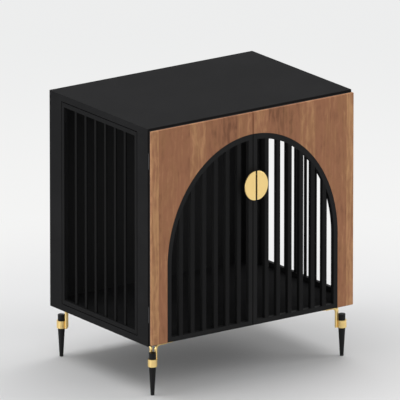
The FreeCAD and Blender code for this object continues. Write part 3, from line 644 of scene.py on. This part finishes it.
door_black = painted("door_black", DOOR_BLACK, roughness=0.5, specular=0.08)
give(door_black, *hands("arch_band", "centre_stile", "bottom_rail", "door_backing"))
give(painted("slat_black", SLAT_BLACK, roughness=0.5, specular=0.08), *hands("door_slats"))
for name in hands("bottom_rail"):
    eased(name, RAIL_EDGE)


# ---------------------------------------------------------------------------------------------------------
# Door fronts. Walnut veneer in upright strips, laid in mirrored order from the seam outwards, each from its
# own part of the log, sanded and sealed matt.

STRIP_WIDTH = 0.0461
STRIP_STEP = 0.036           # each strip is this much lighter than the one before it,
THIRD_STRIP = 0.17           # every third one is lighter by this much again,
SECOND_STRIP = -0.08         # and the second one is darker
WALNUT_DARK = (0.215, 0.089, 0.044)
WALNUT_MID = (0.375, 0.163, 0.083)
WALNUT_LIGHT = (0.570, 0.288, 0.143)
WALNUT_PORE = (0.100, 0.045, 0.024)
YELLOWER = (0.99, 1.07, 0.97)         # what an olive patch does to red, green and blue
TONE_START = -0.27
LATE_WOOD_TONE = 0.18
STREAK_TONE = 0.27
FIBRE_TONE = 0.16
CLOUD_TONE = 0.80
PORE_TONE = 0.18
STRIP_SHIFT = (3.0, 5.0, 7.0)         # metres by which chance moves the pattern of a strip
THROUGH = (1.0, 0.3, 1.0)             # the pattern changes slowly through the panel's thickness
RING_SWAY = (40.0, 40.0, 9.0)         # waves to a metre across, through and along the grain
STREAKS = (240.0, 240.0, 16.0)
FIBRES = (1300.0, 1300.0, 45.0)
CLOUDS = (52.0, 52.0, 24.0)
PORES = (2600.0, 2600.0, 160.0)
OLIVE_PATCHES = (48.0, 48.0, 14.0)
RING_WIDTH = 0.0120
SWAY_RINGS = 3.0             # how many rings wide the sway is
CROWN_ASIDE = 0.03           # width in which the rings' middle lies across a strip
CROWN_HEIGHT = (0.24, 0.36)  # lowest place of the rings' tip, and how much higher it may be
CROWN_SLOPE = 0.055          # how fast the cut leaves the rings' middle along the board
GRAIN_DEPTH = 0.00008
PAINTED_EDGE_SHADE = (0.014, 0.014, 0.014)
PAINTED_SHADE_EDGE = 0.003           # painted shade: the rear of the panel's edge is painted black over this depth, standing in for the shadow in the gap beside the door
PAINTED_SHADE_FADE = 0.0004


def veneer_strips(graph, x):
    """Number of the strip, counted from the seam, the place across it from its middle, and its tone, in which
    every third strip is lighter by the cosine of its number."""
    side = graph.maths("DIVIDE", graph.maths("ABSOLUTE", x), STRIP_WIDTH)
    strip = graph.maths("FLOOR", side)
    across = graph.maths("MULTIPLY", graph.maths("SUBTRACT", graph.maths("FRACT", side), 0.5), STRIP_WIDTH)
    third = graph.maths("COSINE", graph.maths("MULTIPLY", strip, math.tau / 3))
    tone = graph.maths("MULTIPLY_ADD", strip, STRIP_STEP, graph.maths("MULTIPLY", third, THIRD_STRIP))
    second = graph.maths("COMPARE", strip, 1.0, 0.5)
    return strip, across, graph.maths("MULTIPLY_ADD", second, SECOND_STRIP, tone)


def growth_rings(graph, own, across, z, chance):
    """Late wood, from 0 to 1. The rings follow the distance from a line that leans away from the surface,
    which gives nested pointed arches, with noise in it."""
    aside_chance, height_chance, _ = graph.split(chance)
    middle = graph.maths("MULTIPLY_ADD", aside_chance, CROWN_ASIDE, -CROWN_ASIDE / 2)
    aside = graph.maths("SUBTRACT", across, middle)
    lowest, more = CROWN_HEIGHT
    height = graph.maths("MULTIPLY_ADD", height_chance, more, lowest)
    along = graph.maths("MULTIPLY", graph.maths("SUBTRACT", z, height), CROWN_SLOPE)
    squares = graph.maths("MULTIPLY_ADD", aside, aside, graph.maths("MULTIPLY", along, along))
    rings = graph.maths("DIVIDE", graph.maths("SQRT", squares), RING_WIDTH)
    sway = graph.noise(graph.stretched(own, RING_SWAY), 1.0, 3.0, 0.55)
    rings = graph.maths("MULTIPLY_ADD", sway, SWAY_RINGS, rings)
    return graph.spread(graph.maths("PINGPONG", rings, 0.5), 0.12, 0.5)


def walnut(name):
    """Veneer strips with rings, streaks, fibres and broad clouds, whose tones add up to a place between the
    dark and the light colour, and with olive patches and dark pores over them. The rear of the panel's edge
    gets painted shade: black that stands in for the shadow in the gap beside the door."""
    material, graph = new_material(name)
    place = graph.place()
    x, y, z = graph.split(place)
    strip, across, strip_tone = veneer_strips(graph, x)
    chance = graph.node("TexWhiteNoise", (("W", strip),), noise_dimensions="1D").outputs["Color"]
    own = graph.vector("ADD", place, graph.vector("MULTIPLY", chance, STRIP_SHIFT))
    own = graph.vector("MULTIPLY", own, THROUGH)

    late_wood = growth_rings(graph, own, across, z, chance)
    streaks = graph.noise(graph.stretched(own, STREAKS), 1.0, 3.0, 0.55)
    fibres = graph.noise(graph.stretched(own, FIBRES), 1.0, 3.0, 0.6)
    clouds = graph.noise(graph.stretched(own, CLOUDS), 1.0, 4.0, 0.5, 0.9)
    pores = graph.spread(graph.noise(graph.stretched(own, PORES), 1.0, 1.0, 0.5), 0.64, 0.72)
    tone = graph.maths("ADD", strip_tone, TONE_START)
    for grain, weight in ((late_wood, LATE_WOOD_TONE), (streaks, STREAK_TONE), (fibres, FIBRE_TONE),
                          (clouds, CLOUD_TONE)):
        tone = graph.maths("MULTIPLY_ADD", grain, weight, tone)

    shade = graph.blend(graph.spread(tone, 0.0, 0.5), WALNUT_DARK, WALNUT_MID)
    shade = graph.blend(graph.spread(tone, 0.5, 1.05), shade, WALNUT_LIGHT)
    olive = graph.noise(graph.stretched(own, OLIVE_PATCHES), 1.0, 3.0, 0.6)
    olive = graph.spread(graph.maths("MULTIPLY_ADD", strip_tone, 0.35, olive), 0.42, 0.75, 0.0, 0.75)
    shade = graph.blend(olive, shade, graph.vector("MULTIPLY", shade, YELLOWER))
    shade = graph.blend(graph.maths("MULTIPLY", pores, PORE_TONE), shade, WALNUT_PORE)
    # Painted shade: the rear of the panel's edge turns black, standing in for the shadow in the gap beside
    # the door.
    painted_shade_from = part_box("left_door_facing")[1].y - PAINTED_SHADE_EDGE
    shade = graph.blend(graph.spread(y, painted_shade_from, painted_shade_from + PAINTED_SHADE_FADE), shade, PAINTED_EDGE_SHADE)
    rough = graph.maths("MULTIPLY_ADD", streaks, 0.16, 0.46)
    height = graph.maths("SUBTRACT", fibres, graph.maths("MULTIPLY", pores, 0.8))
    graph.finish(graph.node("BsdfPrincipled", (
        ("Base Color", shade), ("Roughness", rough), ("Specular IOR Level", 0.2),
        ("Normal", graph.bump(height, GRAIN_DEPTH)))))
    return material


give(walnut("walnut_veneer"), *hands("door_facing"))


# ---------------------------------------------------------------------------------------------------------
# Pulls. Two half-moon plates of the same brass, one to a door, each on two studs. Screws through the stile
# from behind hold the studs.

give(brass, *hands("pull"))
for hand in ("left", "right"):
    cross_screws(hand + "_stud_screws", hand + "_pull_screws", (0, 1, 0), STOUT_SCREW, zinc, hand + "_door")


# ---------------------------------------------------------------------------------------------------------
# Hinges. Black-plated butt hinges, two to a door: one leaf on the post, one on the back of the walnut panel,
# with countersunk screws, and a pin through their knuckles.

LEAF_SCREW = {"shank": 0.0015, "head_height": 0.0009, "countersunk": True}

give(black_plate, "frame_hinge_leaves", "hinge_pins", *hands("door_hinge_leaves"))
cross_screws("post_leaf_screws", "frame_leaf_screws", (0, -1, 0), LEAF_SCREW, black_plate, "carcass")
for hand in ("left", "right"):
    cross_screws(hand + "_leaf_screws", hand + "_door_leaf_screws", (0, 1, 0), LEAF_SCREW, black_plate,
                 hand + "_door")


# ---------------------------------------------------------------------------------------------------------
# Magnetic catch. A moulded block under the table top holds a magnet for each door, and a zinc-plated strike
# plate lies opposite on the door.

CATCH_SCREW = {"shank": 0.0015, "head_height": 0.0020, "countersunk": False}

give(moulded, "catch_body")
give(zinc, "catch_magnets", *hands("strike_plate"))
cross_screws("catch_block_screws", "catch_screws", (0, 0, -1), CATCH_SCREW, zinc, "carcass")


low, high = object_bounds()
